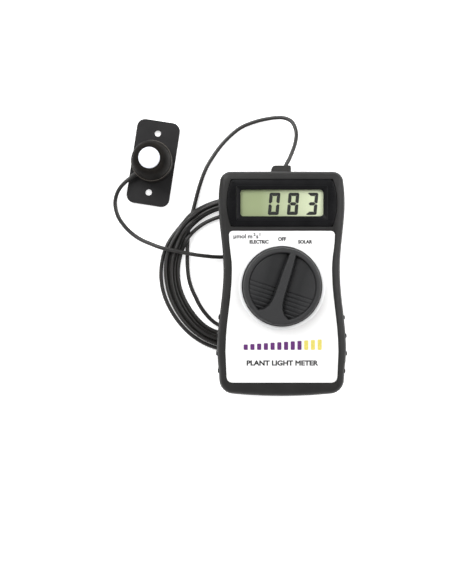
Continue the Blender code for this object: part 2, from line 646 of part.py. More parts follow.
def make_battery(meter, looks):
    """A coin cell in a plastic holder on the back of the board, under a spring clip."""
    under = BOARD_TOP_Z - BOARD_THICK - GAP
    holder = prism("battery_holder", circle(0.0, CELL_Y, CELL_R + 2.2, 40), under - 4.4, under,
                   looks["frame"], meter)
    cut(holder, prism("cell_seat_tool", circle(0.0, CELL_Y, CELL_R + GAP, 40), under - 6,
                      under - 1.2, parent=meter))
    cell_top = under - 1.2 - 0.9
    prism("coin_cell", circle(0.0, CELL_Y, CELL_R, 40), cell_top - CELL_THICK, cell_top,
          looks["cell"], meter)
    prism("battery_contact_inner", rounded(0.0, CELL_Y, 4.0, 12.0, 1.0, 2), cell_top + GAP,
          cell_top + GAP + 0.25, looks["brass"], meter)
    clip_low = under - 4.4 - GAP - 0.4
    prism("battery_contact_clip", rounded(0.0, CELL_Y, 2 * CELL_R + 4.0, 5.0, 1.0, 2), clip_low,
          clip_low + 0.4, looks["steel"], meter)


# ---- sensor head --------------------------------------------------------------------------
def make_sensor(place, looks):
    plate = prism("mounting_plate", rounded(0, 0, PLATE_W, PLATE_L, PLATE_CORNER_R, 5), 0.0,
                  PLATE_THICK, looks["plate"], place)
    for side in (-1, 1):
        hole = circle(0.0, side * PLATE_HOLE_SPACING / 2, PLATE_HOLE_R, 24)
        cut(plate, prism("plate_hole_tool", hole, -1.0, PLATE_THICK + 1.0, parent=place))
    sink = [(0.0, -0.1), (3.4, -0.1), (1.75, 1.5), (1.75, PLATE_THICK + 0.1),
            (0.0, PLATE_THICK + 0.1)]
    cut(plate, turned("sink_tool", sink, parent=place, steps=20))
    make_plate_screw(place, looks["steel"])

    foot = PLATE_THICK + GAP
    dome = [(HEAD_R - 0.25, foot), (HEAD_R, foot + 0.4), (HEAD_R, HEAD_RIM_Z - 0.4)]
    for i in range(8):
        t = i / 7
        a = math.radians(90.0 * t)
        r = HEAD_TOP_R + (HEAD_R - 0.3 - HEAD_TOP_R) * math.cos(a) ** 0.9
        dome.append((r, HEAD_RIM_Z + (HEAD_TOP_Z - HEAD_RIM_Z) * math.sin(a) ** 1.15))
    bore = DIFFUSER_R + GAP
    profile = dome + [(bore, HEAD_TOP_Z), (bore, 24.2), (5.0, 24.2), (5.0, 20.5),
                      (9.9, 16.0), (9.9, foot)]
    housing = turned("sensor_housing", profile, looks["sensor"], place, steps=40)
    diffuser = [(0.0, 24.5), (DIFFUSER_R, 24.5), (DIFFUSER_R, 26.7), (DIFFUSER_R - 0.3, 27.0),
                (0.0, 27.1)]
    turned("sensor_diffuser", diffuser, looks["diffuser"], place, steps=40)
    prism("sensor_filter", circle(0, 0, 4.6, 32), 22.6, 24.2, looks["filter"], place)
    prism("photodiode", circle(0, 0, 4.1, 24), 18.0, 22.3, looks["steel"], place)
    prism("sensor_board", circle(0, 0, 9.5, 32), 13.8, 15.4, looks["board"], place)
    prism("photodiode_socket", circle(0, 0, 4.1, 24), 15.7, 17.7, looks["frame"], place)
    plug = prism("sensor_base_plug", circle(0, 0, 9.6, 32), foot, 12.0, looks["frame"], place)
    cut(plug, prism("plug_bore_tool", circle(0, 0, 1.55, 12), foot - 1, 10.0, parent=place))
    make_sleeve(place, housing, plug, looks["rubber"])


def make_plate_screw(place, look):
    profile = [(0.0, 0.2), (2.9, 0.2), (1.25, 1.8), (1.25, 8.6), (0.0, 9.4)]
    piece = turned("plate_screw", profile, look, place, steps=16)
    for width, length in ((0.7, 3.0), (3.0, 0.7)):
        slot = rounded(0, 0, width, length, 0.1, 1)
        cut(piece, prism("slot_tool", slot, -1.0, 1.0, parent=place))


def make_sleeve(place, housing, plug, look):
    """The rubber sleeve that carries the cable out of the head's side, near the plate."""
    heading = math.radians(SLEEVE_TURN - SENSOR_TURN)
    way = Vector((math.cos(heading), math.sin(heading), 0.0))
    up = Vector((0.0, 0.0, SLEEVE_Z))
    port = rod("port_tool", SLEEVE_R + GAP, up + way * 7.2, up + way * 14.0, parent=place)
    cut(housing, port)
    pocket = rod("pocket_tool", SLEEVE_R + GAP, up + way * 7.2, up + way * 14.0, parent=place)
    cut(plug, pocket)
    rod("sensor_cable_sleeve", SLEEVE_R, up + way * 7.6, up + way * 15.5, look, place, sides=16)


# ---- cable --------------------------------------------------------------------------------
def smooth_route(points, spacing):
    """Even points along a smooth curve through the route's own points."""
    knots = [Vector(p) for p in points]
    knots = [2 * knots[0] - knots[1]] + knots + [2 * knots[-1] - knots[-2]]
    fine = []
    for a, b, c, d in zip(knots, knots[1:], knots[2:], knots[3:]):
        for k in range(20):
            t = k / 20
            fine.append(0.5 * ((2 * b) + (c - a) * t + (2 * a - 5 * b + 4 * c - d) * t * t
                               + (3 * b - a - 3 * c + d) * t * t * t))
    fine.append(knots[-2])
    total = sum((q - p).length for p, q in zip(fine, fine[1:]))
    count = round(total / spacing)
    step, run, target, even = total / count, 0.0, 0.0, []
    for p, q in zip(fine, fine[1:]):
        length = (q - p).length
        while target <= run + length and len(even) < count:
            even.append(p.lerp(q, (target - run) / length))
            target += step
        run += length
    return even + [fine[-1]]


def make_cable_run(name, route, look):
    """A free stretch of cable as a round tube with flat ends."""
    points = smooth_route(route, 2.4 * 2 * CORD_R)
    data = bpy.data.curves.new(name, "CURVE")
    data.dimensions = "3D"
    data.bevel_depth = CORD_R * MM
    data.bevel_resolution = 2
    data.use_fill_caps = True
    data.resolution_u = 1
    data.render_resolution_u = 0
    line = data.splines.new("POLY")
    line.points.add(len(points) - 1)
    for spot, point in zip(line.points, points):
        spot.co = (*(point * MM), 1.0)
    data.materials.append(look)
    bpy.context.collection.objects.link(bpy.data.objects.new(name, data))


def make_cable(looks):
    make_cable_run("sensor_cable_lead", LEAD_ROUTE, looks["cable"])
    make_cable_run("sensor_cable_tail", TAIL_ROUTE, looks["cable"])
    profile = [(COIL_INNER_R, 0.8), (COIL_INNER_R + 0.8, 0.0), (COIL_OUTER_R - 0.8, 0.0),
               (COIL_OUTER_R, 0.8), (COIL_OUTER_R, COIL_HEIGHT - 0.8),
               (COIL_OUTER_R - 0.8, COIL_HEIGHT), (COIL_INNER_R + 0.8, COIL_HEIGHT),
               (COIL_INNER_R, COIL_HEIGHT - 0.8)]
    turned("sensor_cable_coil", profile, looks["cable"], centre=(COIL_X, COIL_Y, 0.0), steps=48)


# ---- everything ---------------------------------------------------------------------------
def make_looks():
    return {
        "case": material("case_plastic", (0.052, 0.051, 0.048), 0.55),
        "bezel": material("bezel_plastic", (0.013, 0.013, 0.014), 0.5),
        "label": material("label_print", (0.93, 0.92, 0.89), 0.45),
        "ring": material("ring_plastic", (0.62, 0.63, 0.65), 0.4),
        "knob": material("knob_plastic", (0.048, 0.048, 0.05), 0.5),
        "clear": material("clear_plastic", (0.9, 0.92, 0.9), 0.05),
        "lcd": material("display_glass", (0.52, 0.6, 0.36), 0.25),
        "frame": material("frame_plastic", (0.6, 0.6, 0.57), 0.6),
        "silicone": material("contact_silicone", (0.75, 0.45, 0.45), 0.6),
        "board": material("board_laminate", (0.03, 0.16, 0.07), 0.45),
        "chip": material("chip_epoxy", (0.02, 0.02, 0.02), 0.6),
        "capacitor": material("capacitor_sleeve", (0.02, 0.03, 0.12), 0.4),
        "trimmer": material("trimmer_body", (0.02, 0.12, 0.4), 0.5),
        "trimmer_rotor": material("trimmer_rotor", (0.8, 0.78, 0.7), 0.5),
        "cell": material("cell_steel", (0.75, 0.75, 0.74), 0.25, 1.0),
        "steel": material("steel", (0.6, 0.6, 0.6), 0.3, 1.0),
        "brass": material("brass", (0.78, 0.57, 0.25), 0.3, 1.0),
        "plate": material("plate_paint", (0.034, 0.033, 0.035), 0.6),
        "sensor": material("sensor_plastic", (0.025, 0.024, 0.022), 0.32),
        "diffuser": material("diffuser_acrylic", (0.9, 0.92, 0.97), 0.5),
        "filter": material("filter_glass", (0.15, 0.3, 0.42), 0.1),
        "rubber": material("sleeve_rubber", (0.03, 0.029, 0.027), 0.6),
        "cable": material("cable_jacket", (0.033, 0.031, 0.028), 0.5),
    }


def main():
    clear_scene()
    looks = make_looks()
    meter = frame("meter_frame", METER_X, METER_Y)
    make_front_housing(meter, looks["case"])
    make_rear_housing(meter, looks["case"])
    make_case_screws(meter, looks["steel"])
    make_cable_gland(meter, looks["rubber"])
    make_face_label(meter, looks["label"])
    make_dial_ring(meter, looks["ring"])
    make_display_bezel(meter, looks["bezel"])
    make_display(meter, looks)
    make_selector(frame("selector_axis", 0.0, KNOB_Y, KNOB_REST, meter), looks)
    make_board(meter, looks)
    make_battery(meter, looks)
    make_sensor(frame("sensor_frame", SENSOR_X, SENSOR_Y, SENSOR_TURN), looks)
    make_cable(looks)


main()
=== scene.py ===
"""Looks of the handheld light meter: materials, printed face, display, knob and cable.

Lengths are in millimetres and MM makes them metres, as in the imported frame. The camera
looks straight down, +Y is up in the view, and the floor is Z = 0.
"""

import json
import math

import bmesh
import bpy
import numpy as np
from mathutils import Matrix, Vector


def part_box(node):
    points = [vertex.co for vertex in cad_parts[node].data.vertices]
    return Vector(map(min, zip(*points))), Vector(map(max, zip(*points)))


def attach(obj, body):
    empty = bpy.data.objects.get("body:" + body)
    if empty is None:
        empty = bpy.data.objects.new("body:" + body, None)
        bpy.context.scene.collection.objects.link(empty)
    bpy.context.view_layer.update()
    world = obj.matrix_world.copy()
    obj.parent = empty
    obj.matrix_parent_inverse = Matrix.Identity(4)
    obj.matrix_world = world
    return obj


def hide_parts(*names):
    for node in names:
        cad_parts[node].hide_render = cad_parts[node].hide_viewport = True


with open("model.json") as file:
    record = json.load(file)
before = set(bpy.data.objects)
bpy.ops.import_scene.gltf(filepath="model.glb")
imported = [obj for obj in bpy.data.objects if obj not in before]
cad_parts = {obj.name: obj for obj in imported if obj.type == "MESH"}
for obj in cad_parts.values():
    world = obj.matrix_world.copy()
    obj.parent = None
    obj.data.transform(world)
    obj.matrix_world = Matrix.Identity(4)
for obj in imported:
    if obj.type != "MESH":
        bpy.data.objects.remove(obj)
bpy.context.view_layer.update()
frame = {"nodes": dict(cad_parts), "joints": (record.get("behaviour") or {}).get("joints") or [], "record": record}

MM = 0.001
SLOT_OF = {part["node"]: part["material_slot"] for part in frame["record"]["subparts"]}


def middle(node):
    """The centre of a CAD node's box, in millimetres."""
    low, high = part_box(node)
    return (low + high) / (2 * MM)


def top_of(node):
    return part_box(node)[1].z / MM


FACE_Z = top_of("front_housing")
KNOB_TOP_Z = top_of("selector_knob")
LABEL_Z = top_of("face_label")
COIL = middle("sensor_cable_coil")
SENSOR = middle("sensor_diffuser")
KNOB = Vector(next(j["pos_m"] for j in frame["joints"] if j["name"] == "selector_turn")) / MM
KNOB_REST = math.radians(-18.0)
METER = KNOB.x, KNOB.y + 1.0


# ---- materials ----------------------------------------------------------------------------
class Look:
    """A node material under construction, with its coordinates in millimetres."""

    def __init__(self, name, colour, roughness, metallic=0.0, **sockets):
        self.material = bpy.data.materials.new(name)
        self.material.use_nodes = True
        self.nodes = self.material.node_tree.nodes
        self.links = self.material.node_tree.links
        self.shader = self.nodes["Principled BSDF"]
        self.set("Base Color", (*colour, 1.0))
        self.set("Roughness", roughness)
        self.set("Metallic", metallic)
        for label, value in sockets.items():
            self.set(label.replace("_", " "), value)
        self.colour = colour
        self.roughness = roughness
        self.height = None
        place = self.nodes.new("ShaderNodeTexCoord")
        grow = self.nodes.new("ShaderNodeVectorMath")
        grow.operation = "SCALE"
        grow.inputs["Scale"].default_value = 1.0 / MM
        self.links.new(place.outputs["Object"], grow.inputs[0])
        self.place = grow.outputs[0]

    def set(self, socket, value):
        self.shader.inputs[socket].default_value = value

    def noise(self, size, detail=2.0, stretch=None, roughness=0.5):
        """Noise whose features are about size millimetres across."""
        source = self.place
        if stretch:
            squeeze = self.nodes.new("ShaderNodeVectorMath")
            squeeze.operation = "MULTIPLY"
            squeeze.inputs[1].default_value = stretch
            self.links.new(source, squeeze.inputs[0])
            source = squeeze.outputs[0]
        texture = self.nodes.new("ShaderNodeTexNoise")
        texture.inputs["Scale"].default_value = 1.0 / size
        texture.inputs["Detail"].default_value = detail
        texture.inputs["Roughness"].default_value = roughness
        self.links.new(source, texture.inputs["Vector"])
        return texture.outputs["Fac"]

    def spread(self, source, low, high, start=0.3, end=0.7):
        """Map a texture from its start..end onto low..high."""
        ramp = self.nodes.new("ShaderNodeMapRange")
        ramp.inputs["From Min"].default_value = start
        ramp.inputs["From Max"].default_value = end
        ramp.inputs["To Min"].default_value = low
        ramp.inputs["To Max"].default_value = high
        self.links.new(source, ramp.inputs["Value"])
        return ramp.outputs["Result"]

    def tint(self, source, other, start=0.35, end=0.65):
        """Blend the base colour towards another where the texture is high."""
        mix = self.nodes.new("ShaderNodeMix")
        mix.data_type = "RGBA"
        mix.inputs[6].default_value = (*self.colour, 1.0)
        mix.inputs[7].default_value = (*other, 1.0)
        self.links.new(self.spread(source, 0.0, 1.0, start, end), mix.inputs[0])
        self.links.new(mix.outputs[2], self.shader.inputs["Base Color"])

    def scuff(self, source, amount):
        low, high = self.roughness - amount, self.roughness + amount
        self.links.new(self.spread(source, low, high), self.shader.inputs["Roughness"])

    def bump(self, source, depth):
        """Raise the surface by up to depth millimetres where the texture is high."""
        lift = self.nodes.new("ShaderNodeBump")
        lift.inputs["Distance"].default_value = depth * MM
        lift.inputs["Strength"].default_value = 1.0
        self.links.new(source, lift.inputs["Height"])
        if self.height:
            self.links.new(self.height, lift.inputs["Normal"])
        self.height = lift.outputs["Normal"]
        self.links.new(self.height, self.shader.inputs["Normal"])


def moulded(name, colour, roughness, grain, depth, variation=0.12, shine=0.5):
    """Spark-textured moulded plastic: fine pebbles, slow mottling and uneven sheen."""
    look = Look(name, colour, roughness, Specular_IOR_Level=shine)
    lighter = tuple(min(1.0, c * (1.0 + variation) + 0.002) for c in colour)
    look.tint(look.noise(9.0, 4.0), lighter)
    look.scuff(look.noise(3.0, 3.0), 0.06)
    look.bump(look.noise(grain, 2.0), depth)
    look.bump(look.noise(grain * 7.0, 2.0), depth * 0.8)
    return look.material


def sheet_metal(name, colour, roughness, grain=0.5):
    """Bright metal with fine drawn lines along X."""
    look = Look(name, colour, roughness, 1.0)
    lines = look.noise(grain, 3.0, stretch=(0.08, 1.0, 1.0))
    look.scuff(lines, 0.08)
    look.bump(lines, 0.01)
    return look.material


def case_look():
    return moulded("case_plastic", (0.0150, 0.0146, 0.0142), 0.46, 0.35, 0.02, shine=0.26)


def knob_look():
    """Fine moulded grain, with painted shade: the hollows are painted darker than the raised bar and rim."""
    look = Look("knob_plastic", (0.0160, 0.0162, 0.0170), 0.46, Specular_IOR_Level=0.18)
    split = look.nodes.new("ShaderNodeSeparateXYZ")
    look.links.new(look.place, split.inputs[0])
    # Painted shade: the colour turns paler towards the knob's top, so the hollows read darker than the raised bar
    # and rim.
    look.tint(split.outputs["Z"], (0.0340, 0.0340, 0.0350), KNOB_TOP_Z - 1.6, KNOB_TOP_Z - 0.3)
    look.scuff(look.noise(3.0, 3.0), 0.06)
    look.bump(look.noise(0.28, 2.0), 0.015)
    look.bump(look.noise(2.0, 2.0), 0.012)
    return look.material


def label_look():
    look = Look("label_print", (0.85, 0.848, 0.845), 0.42)
    look.tint(look.noise(14.0, 3.0), (0.87, 0.868, 0.865))
    look.scuff(look.noise(5.0, 3.0), 0.05)
    look.bump(look.noise(0.6, 2.0), 0.004)
    return look.material


def display_look():
    """Reflective display glass, greener at its left and paler at its right."""
    look = Look("display_glass", (0.325, 0.385, 0.205), 0.35)
    across = look.nodes.new("ShaderNodeSeparateXYZ")
    look.links.new(look.place, across.inputs[0])
    start, end = METER[0] - 12.0, METER[0] + 23.0
    look.tint(across.outputs["X"], (0.76, 0.83, 0.58), start, end)
    look.scuff(look.noise(4.0, 2.0), 0.04)
    look.bump(look.noise(0.25, 1.0), 0.002)
    return look.material


def clear_look():
    look = Look("clear_plastic", (0.05, 0.05, 0.05), 0.06, Alpha=0.05)
    look.scuff(look.noise(6.0, 3.0), 0.03)
    return look.material


def sensor_look():
    """Satin turned plastic with fine lathe rings about the head's axis."""
    look = Look("sensor_plastic", (0.0105, 0.0098, 0.0092), 0.55, Specular_IOR_Level=0.02)
    look.tint(look.noise(5.0, 3.0), (0.0160, 0.0142, 0.0125))
    look.scuff(look.noise(1.2, 3.0, stretch=(1.0, 1.0, 6.0)), 0.06)
    look.bump(look.noise(0.25, 2.0, stretch=(0.1, 0.1, 2.0)), 0.006)
    return look.material


def diffuser_look():
    look = Look("diffuser_acrylic", (0.84, 0.86, 0.94), 0.45, Subsurface_Weight=0.25)
    look.set("Subsurface Radius", (0.002, 0.002, 0.002))
    look.tint(look.noise(3.0, 2.0), (0.87, 0.89, 0.95))
    look.bump(look.noise(0.3, 2.0), 0.004)
    return look.material


def cable_look():
    """Drawn jacket: faint streaks, a dusty bloom and small dents."""
    look = Look("cable_jacket", (0.0135, 0.0127, 0.0120), 0.36)
    look.tint(look.noise(1.5, 4.0), (0.018, 0.0165, 0.015))
    look.scuff(look.noise(2.5, 3.0), 0.08)
    look.bump(look.noise(0.5, 3.0), 0.012)
    return look.material


def ink(name, colour):
    look = Look(name, colour, 0.55)
    look.tint(look.noise(0.8, 3.0), tuple(c * 0.85 for c in colour))
    return look.material


def make_looks():
    return {
        "case_plastic": case_look(),
        "bezel_plastic": moulded("bezel_plastic", (0.0045, 0.0045, 0.0052), 0.42, 0.3, 0.01,
                                 shine=0.1),
        "label_print": label_look(),
        "ring_plastic": moulded("ring_plastic", (0.88, 0.885, 0.89), 0.4, 0.3, 0.01, 0.04),
        "knob_plastic": knob_look(),
        # Paler brownish colour for the sensor head's rim line, a painted highlight.
        "painted_rim_highlight": moulded("painted_rim_highlight", (0.085, 0.075, 0.064), 0.4, 0.5, 0.01, 0.5),
        "clear_plastic": clear_look(),
        "display_glass": display_look(),
        "frame_plastic": moulded("frame_plastic", (0.6, 0.6, 0.57), 0.55, 0.4, 0.02, 0.05),
        "contact_silicone": moulded("contact_silicone", (0.75, 0.45, 0.45), 0.6, 0.5, 0.02),
        "board_laminate": moulded("board_laminate", (0.03, 0.16, 0.07), 0.4, 0.6, 0.01, 0.3),
        "chip_epoxy": moulded("chip_epoxy", (0.02, 0.02, 0.02), 0.6, 0.3, 0.02),
        "capacitor_sleeve": moulded("capacitor_sleeve", (0.02, 0.03, 0.12), 0.35, 0.8, 0.01),
        "trimmer_plastic": moulded("trimmer_plastic", (0.02, 0.12, 0.4), 0.5, 0.4, 0.02),
        "trimmer_rotor_plastic": moulded("trimmer_rotor", (0.8, 0.78, 0.7), 0.5, 0.4, 0.02, 0.05),
        "cell_steel": sheet_metal("cell_steel", (0.75, 0.75, 0.74), 0.25),
        "screw_steel": sheet_metal("screw_steel", (0.6, 0.6, 0.6), 0.3),
        "contact_brass": sheet_metal("contact_brass", (0.78, 0.57, 0.25), 0.3),
        "plate_paint": moulded("plate_paint", (0.0150, 0.0145, 0.0150), 0.5, 0.45, 0.02,
                               shine=0.2),
        "sensor_plastic": sensor_look(),
        "diffuser_acrylic": diffuser_look(),
        "filter_glass": moulded("filter_glass", (0.15, 0.3, 0.42), 0.1, 0.9, 0.002),
        "gland_rubber": moulded("gland_rubber", (0.0125, 0.0115, 0.0105), 0.5, 0.5, 0.03, 0.25),
        "cable_jacket": cable_look(),
        "dark_ink": ink("dark_ink", (0.016, 0.014, 0.016)),
        "grey_ink": ink("grey_ink", (0.030, 0.030, 0.033)),
        "purple_ink": ink("purple_ink", (0.105, 0.014, 0.145)),
        "gold_ink": ink("gold_ink", (0.72, 0.62, 0.13)),
        "segment_ink": ink("segment_ink", (0.006, 0.008, 0.005)),
    }


looks = make_looks()


# ---- making pieces ------------------------------------------------------------------------
def new_piece(name, mesh, look, body="meter", smooth=35.0):
    mesh.materials.clear()
    mesh.materials.append(looks[look])
    mesh.shade_smooth()
    mesh.set_sharp_from_angle(angle=math.radians(smooth))
    piece = bpy.data.objects.new(name, mesh)
    bpy.context.scene.collection.objects.link(piece)
    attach(piece, body)
    return piece


def piece_from(name, shape, look, body="meter", smooth=35.0):
    """A piece from a bmesh that is in millimetres."""
    bmesh.ops.recalc_face_normals(shape, faces=shape.faces)
    bmesh.ops.scale(shape, vec=(MM, MM, MM), verts=shape.verts)
    mesh = bpy.data.meshes.new(name)
    shape.to_mesh(mesh)
    shape.free()
    return new_piece(name, mesh, look, body, smooth)


def add_loft(shape, rings, closed=True):
    """Walls through rings of equal point counts, capped at both ends when closed."""
    rows = [[shape.verts.new(point) for point in ring] for ring in rings]
    count = len(rows[0])
    for lower, upper in zip(rows, rows[1:]):
        for i in range(count):
            j = (i + 1) % count
            shape.faces.new((lower[i], lower[j], upper[j], upper[i]))
    if closed:
        shape.faces.new(rows[0][::-1])
        shape.faces.new(rows[-1])


def add_prism(shape, outline, low, high):
    add_loft(shape, [[(x, y, low) for x, y in outline], [(x, y, high) for x, y in outline]])


def turned_shape(profile, centre, steps=96):
    """Spin a (radius, height) profile, from axis to axis or closed, about a vertical axis."""
    shape = bmesh.new()
    rings = []
    for r, z in profile:
        angles = (math.tau * i / steps for i in range(steps))
        rings.append([(centre[0] + r * math.cos(a), centre[1] + r * math.sin(a), z)
                      for a in angles])
    add_loft(shape, rings, closed=False)
    bmesh.ops.remove_doubles(shape, verts=shape.verts, dist=0.001)
    return shape


def refined(node, bevel):
    """A CAD solid with its flat faces merged and its edges softened, standing for the node."""
    shape = bmesh.new()
    shape.from_mesh(frame["nodes"][node].data)
    bmesh.ops.remove_doubles(shape, verts=shape.verts, dist=0.001 * MM)
    bmesh.ops.dissolve_limit(shape, angle_limit=math.radians(0.5), verts=shape.verts,
                             edges=shape.edges)
    mesh = bpy.data.meshes.new(node + "_shell")
    shape.to_mesh(mesh)
    shape.free()
    slot = SLOT_OF[node]
    piece = new_piece(node + "_shell", mesh, slot)
    soften = piece.modifiers.new("soft_edges", "BEVEL")
    soften.width = bevel * MM
    soften.segments = 2
    soften.limit_method = "ANGLE"
    soften.angle_limit = math.radians(34.0)
    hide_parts(node)
    return piece


def arc(cx, cy, radius, start, end, steps):
    return [(cx + radius * math.cos(a), cy + radius * math.sin(a))
            for a in (math.radians(start + (end - start) * i / steps) for i in range(steps + 1))]


def rounded(cx, cy, width, height, radius, steps=6):
    dx, dy = width / 2 - radius, height / 2 - radius
    points = []
    for sx, sy, start in ((1, -1, -90), (1, 1, 0), (-1, 1, 90), (-1, -1, 180)):
        points += arc(cx + sx * dx, cy + sy * dy, radius, start, start + 90, steps)
    return points


def on_meter(points):
    return [(x + METER[0], y + METER[1]) for x, y in points]


# ---- cable --------------------------------------------------------------------------------
CORD_D = 2.3
LOW_Z, HIGH_Z = 1.2, 3.2
LEAD_ROUTE = (
    (29.1, 51.0, 16.7), (30.5, 53.4, 16.4), (32.7, 58.4, 15.2), (34.7, 64.4, 12.8),
    (35.3, 70.5, 10.0), (33.4, 76.4, 7.3), (29.2, 79.3, 5.2), (23.5, 79.8, 3.5),
    (16.0, 78.8, 2.2), (9.0, 76.8, 1.6), (3.2, 74.1, 1.5), (-2.6, 69.4, 1.5),
    (-8.4, 63.2, 1.5), (-14.0, 55.1, 1.5), (-17.1, 49.3, 1.5), (-20.0, 41.4, 1.4),
    (-22.1, 33.9, 1.3), (-23.4, 28.8, 1.2),
)
TAIL_ROUTE = (
    (25.2, -1.6, 1.6), (20.7, 2.8, 1.5), (14.3, 5.0, 1.5), (6.8, 3.6, 1.5),
    (-0.2, 0.8, 1.6), (-6.4, -0.7, 2.3), (-11.4, -0.7, 3.6), (-17.0, -0.2, 5.0),
    (-22.7, 0.5, 6.0), (-31.4, 2.1, 6.2), (-41.7, 4.4, 6.1), (-48.8, 7.0, 4.4),
    (-54.8, 9.7, 2.8), (-60.1, 13.4, 1.8), (-64.2, 17.6, 1.5), (-67.7, 23.0, 1.5),
    (-69.3, 29.5, 1.7), (-68.6, 34.6, 2.4), (-66.6, 38.7, 3.3), (-63.6, 42.0, 4.2),
    (-60.4, 44.6, 4.7),
)

# The lead dives under the coil, becomes its innermost strand on the open side, then rises
# over the others under the meter to the coil's outer edge. Rows are azimuth in degrees,
# radius and height.
FIRST_TURN = (
    (125.4, 44.2, LOW_Z), (135.0, 39.2, LOW_Z), (145.0, 34.6, LOW_Z), (155.7, 31.4, LOW_Z),
    (165.7, 29.5, LOW_Z), (180.0, 28.1, LOW_Z), (206.0, 27.1, LOW_Z), (219.0, 27.8, LOW_Z),
    (231.0, 28.9, LOW_Z), (249.0, 30.9, LOW_Z), (262.0, 31.2, 2.6), (275.0, 31.3, 3.5),
    (290.0, 31.6, 3.5), (350.0, 37.0, 3.5), (415.0, 43.2, 3.5), (435.0, 44.0, 1.9),
    (445.0, 44.0, LOW_Z), (460.0, 43.95, LOW_Z),
)
# Each later turn keeps one slot across the open side: its radii at these azimuths, its
# height, and the azimuth where it passes over the lead.
SLOT_AZIMUTHS = (100.0, 110.0, 128.0, 140.0, 155.0, 166.0, 186.0, 214.0, 250.0)
SLOTS = (
    ((43.95, 43.95, 43.6, 42.9, 43.6, 43.9, 43.85, 43.3, 44.1), LOW_Z, 126.0),
    ((42.8, 42.8, 42.3, 41.7, 41.5, 41.6, 40.75, 40.45, 41.6), HIGH_Z, 129.5),
    ((41.65, 41.65, 41.1, 40.5, 39.8, 39.6, 39.0, 39.0, 40.1), LOW_Z, 132.0),
    ((40.5, 40.5, 40.0, 39.3, 38.3, 38.0, 37.4, 37.4, 38.7), HIGH_Z, 134.5),
    ((39.5, 39.5, 38.7, 37.9, 36.8, 36.4, 35.95, 35.7, 37.3), LOW_Z, 138.0),
    ((35.1, 35.0, 35.3, 35.3, 34.7, 34.3, 33.85, 33.6, 35.2), LOW_Z, 144.0),
)
HUMP_HEIGHT, HUMP_HALF_SPAN = 2.35, 12.0
FLAT_OUTER_R, FLAT_PITCH = 44.0, 2.35
LAST_TURN_END = ((300.0, 32.25, LOW_Z), (335.0, 31.0, LOW_Z), (362.0, 28.4, 1.3))
COIL_STEP = 6.0


def hermite(rows, at):
    """Smooth values between rows of (position, value, value) at one position."""
    i = max(k for k in range(len(rows) - 1) if k == 0 or rows[k][0] <= at)
    h = rows[i + 1][0] - rows[i][0]
    t = (at - rows[i][0]) / h
    values = []
    for column in (1, 2):
        def slope(k):
            a, b = rows[max(0, k - 1)], rows[min(len(rows) - 1, k + 1)]
            return (b[column] - a[column]) / (b[0] - a[0])
        p, q = rows[i][column], rows[i + 1][column]
        values.append(p * (1 + 2 * t) * (1 - t) ** 2 + q * t * t * (3 - 2 * t)
                      + h * slope(i) * t * (1 - t) ** 2 - h * slope(i + 1) * t * t * (1 - t))
    return values


def turn_rows(slot):
    """One later turn: its slot, then flat under the meter while it moves one slot in."""
    radii, height = SLOTS[slot][:2]
    rows = [(azimuth, radius, height) for azimuth, radius in zip(SLOT_AZIMUTHS, radii)]
    flat = FLAT_OUTER_R - FLAT_PITCH * slot
    rows.append((285.0, flat, LOW_Z))
    if slot == len(SLOTS) - 1:
        return rows + list(LAST_TURN_END)
    rows += [(305.0, flat, LOW_Z), (405.0, flat - FLAT_PITCH, LOW_Z),
             (425.0, flat - FLAT_PITCH, LOW_Z)]
    radii, height = SLOTS[slot + 1][:2]
    return rows + [(460.0, radii[0], height)]


def coil_points():
    """The coil's centreline, from where the lead reaches it to where the tail leaves it."""
    turns = [(FIRST_TURN, None)]
    turns += [(turn_rows(slot), SLOTS[slot][2]) for slot in range(len(SLOTS))]
    points = []
    for rows, crossing in turns:
        steps = round((rows[-1][0] - rows[0][0]) / COIL_STEP)
        for i in range(steps):
            azimuth = rows[0][0] + (rows[-1][0] - rows[0][0]) * i / steps
            radius, height = hermite(rows, azimuth)
            height = max(height, LOW_Z)
            if crossing and abs(azimuth - crossing) < HUMP_HALF_SPAN:
                share = (azimuth - crossing) / HUMP_HALF_SPAN
                height += HUMP_HEIGHT * math.cos(math.pi / 2 * share) ** 2
            angle = math.radians(azimuth)
            points.append((COIL.x + radius * math.cos(angle),
                           COIL.y + radius * math.sin(angle), height))
    return points


def smooth_route(points, spacing):
    """Even points along a smooth curve through the route's own points."""
    knots = [Vector(p) for p in points]
    knots = [2 * knots[0] - knots[1]] + knots + [2 * knots[-1] - knots[-2]]
    fine = []
    for a, b, c, d in zip(knots, knots[1:], knots[2:], knots[3:]):
        for k in range(12):
            t = k / 12
            fine.append(0.5 * ((2 * b) + (c - a) * t + (2 * a - 5 * b + 4 * c - d) * t * t
                               + (3 * b - a - 3 * c + d) * t * t * t))
    fine.append(knots[-2])
    total = sum((q - p).length for p, q in zip(fine, fine[1:]))
    count = round(total / spacing)
    step, run, target, even = total / count, 0.0, 0.0, []
    for p, q in zip(fine, fine[1:]):
        length = (q - p).length
        while target <= run + length and len(even) < count:
            even.append(p.lerp(q, (target - run) / length))
            target += step
        run += length
    return even + [fine[-1]], total


def make_cable():
    """One cable from the gland, through the coil under the meter, to the sensor head."""
    inside_gland = (28.9, 47.6, 16.7)
    inside_sleeve = (-57.6, 46.6, 4.7)
    route = [inside_gland, *LEAD_ROUTE, *coil_points(), *TAIL_ROUTE, inside_sleeve]
    points, length = smooth_route(route, 1.6)
    data = bpy.data.curves.new("sensor_cable", "CURVE")
    data.dimensions = "3D"
    data.bevel_depth = CORD_D / 2 * MM
    data.bevel_resolution = 3
    data.use_fill_caps = True
    line = data.splines.new("POLY")
    line.points.add(len(points) - 1)
    line.use_smooth = True
    for spot, point in zip(line.points, points):
        spot.co = (*(point * MM), 1.0)
    data.materials.append(looks["cable_jacket"])
    cable = bpy.data.objects.new("sensor_cable", data)
    bpy.context.scene.collection.objects.link(cable)
    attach(cable, "meter")
    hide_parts("sensor_cable_lead", "sensor_cable_coil", "sensor_cable_tail")


